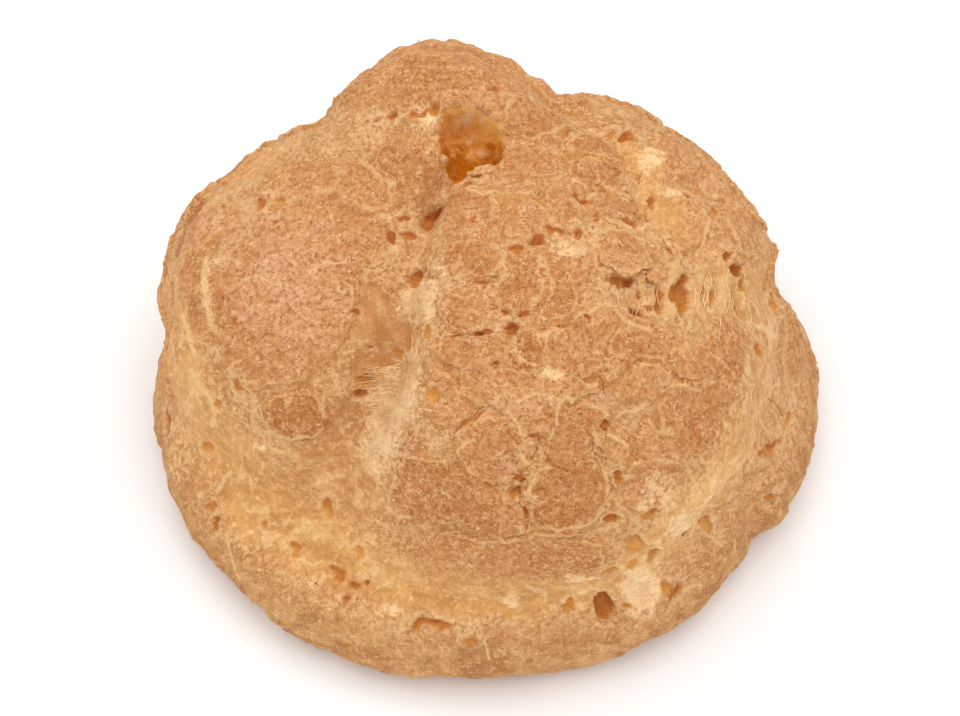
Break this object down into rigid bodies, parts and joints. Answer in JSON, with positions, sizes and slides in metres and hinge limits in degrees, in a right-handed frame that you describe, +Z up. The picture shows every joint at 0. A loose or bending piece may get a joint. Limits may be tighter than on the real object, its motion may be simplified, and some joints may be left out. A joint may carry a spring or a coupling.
{
  "type": "cream puff",
  "caption": "Round baked choux bun with a cracked golden-brown dome, side lobes, a torn hole near the top and a spreading rim on a flat base.",
  "frame": {"origin": "centre of the flat base, on the table", "axes": "+Z up; -Y is the front, where the dome's cracked face and the crevice show; +X is to the right seen from the front"},
  "size_m": [0.0812, 0.0775, 0.0485],
  "materials": {
    "baked_crust": "baked choux crust: golden brown, matte and finely cracked, paler and waxy between the plates"
  },
  "bodies": {
    "root": {"choux_puff": "baked_crust"}
  },
  "joints": []
}
